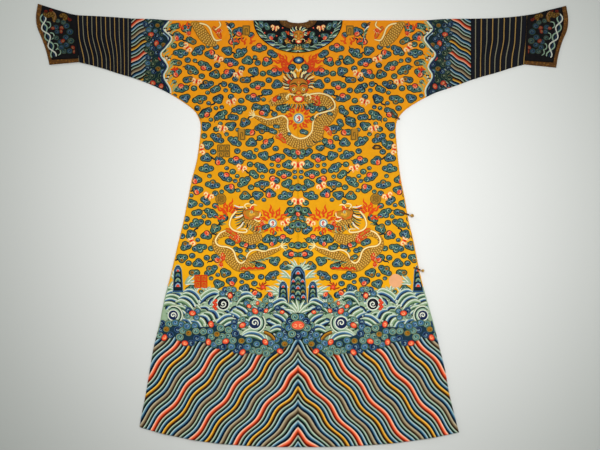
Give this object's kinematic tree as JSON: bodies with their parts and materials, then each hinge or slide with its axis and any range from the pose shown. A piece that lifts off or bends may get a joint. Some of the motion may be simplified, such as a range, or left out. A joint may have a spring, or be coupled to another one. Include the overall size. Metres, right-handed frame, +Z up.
{
  "type": "dragon robe",
  "caption": "Long silk dragon robe laid flat with its back up: flared body, ribbed sleeves, flared horse-hoof cuffs, round neck band and side fastening.",
  "frame": {"origin": "centre of the laid robe's bounding box, on the surface it rests on", "axes": "+Z up from that surface, out of the robe's back; +Y from the hem to the neck; +X along the sleeves to the wearer's right"},
  "size_m": [1.833, 1.5286, 0.0133],
  "materials": {
    "yellow_silk": "satin silk with woven and stitched ornament",
    "indigo_silk": "ribbed silk with gold lines",
    "black_silk": "black silk with stitched ornament",
    "gold_brown_braid": "figured metal-thread braid, dull",
    "strap_silk": "folded bias strip, matt",
    "ball_brass": "cast, tarnished"
  },
  "bodies": {
    "root": {"body_left": "yellow_silk", "body_right": "yellow_silk", "front_flap": "yellow_silk", "sleeve_left": "indigo_silk", "sleeve_right": "indigo_silk", "cuff_left": "black_silk", "cuff_right": "black_silk", "collar_band": "black_silk", "flap_band": "black_silk", "cuff_border_left": "gold_brown_braid", "cuff_border_right": "gold_brown_braid", "neck_binding": "gold_brown_braid", "strap_armpit": "strap_silk", "strap_waist": "strap_silk", "strap_hip": "strap_silk", "button_waist": "ball_brass", "button_hip": "ball_brass"}
  },
  "joints": []
}
